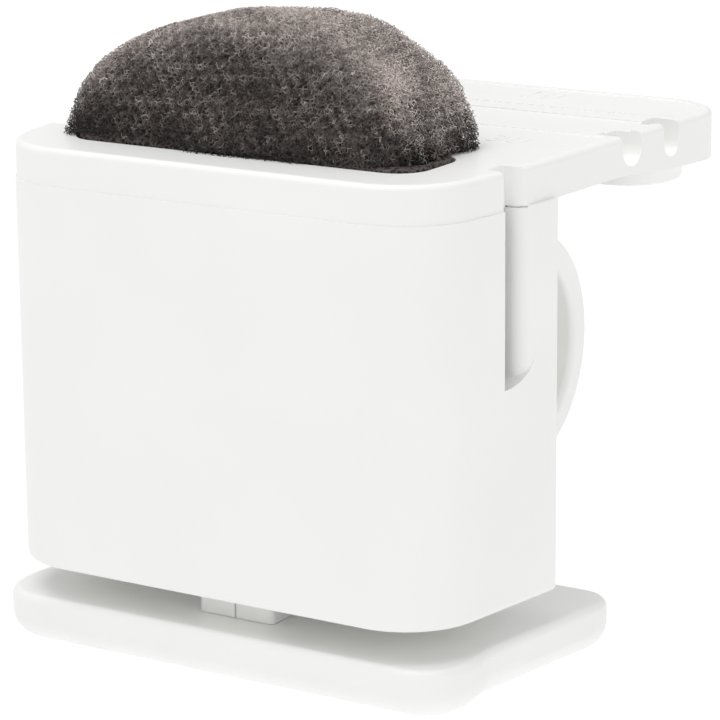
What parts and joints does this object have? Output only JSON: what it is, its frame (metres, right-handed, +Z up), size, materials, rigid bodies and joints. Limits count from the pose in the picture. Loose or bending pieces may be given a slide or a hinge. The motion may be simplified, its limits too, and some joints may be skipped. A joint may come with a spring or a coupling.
{
  "type": "endodontic file organiser",
  "caption": "Small white finger-worn organiser for root canal files: flared cup with a foam block, notched ruler ledge, swivelling finger ring and a flat foot.",
  "frame": {"origin": "centre of the foot plate's underside, on the surface that the object stands on", "axes": "+X to the right seen from the front wall, +Y from the front wall towards the ruler ledge, +Z up"},
  "size_m": [0.0436, 0.0416, 0.0478],
  "materials": {
    "cup_plastic": "satin white moulded plastic",
    "deck_plastic": "satin white moulded plastic",
    "foot_plastic": "satin white moulded plastic",
    "ring_plastic": "smooth white moulded plastic",
    "foam": "dark grey open-cell foam",
    "spring_steel": "plain",
    "screw_steel": "plain"
  },
  "bodies": {
    "body": {"cup_shell": "cup_plastic", "top_deck": "deck_plastic", "foot_plate": "foot_plastic", "foot_post": "foot_plastic", "foot_screw": "screw_steel"},
    "foam": {"foam_insert": "foam"},
    "ring": {"finger_ring": "ring_plastic", "ring_clip": "spring_steel"}
  },
  "joints": [
    {"name": "foam_lift", "type": "slide", "parent": "body", "child": "foam", "axis": [0, 0, 1], "range_m": [0, 0.018]},
    {"name": "ring_swivel", "type": "hinge", "parent": "body", "child": "ring", "pos_m": [0, 0.0025, 0.02005], "axis": [0, 1, 0], "continuous": true}
  ]
}
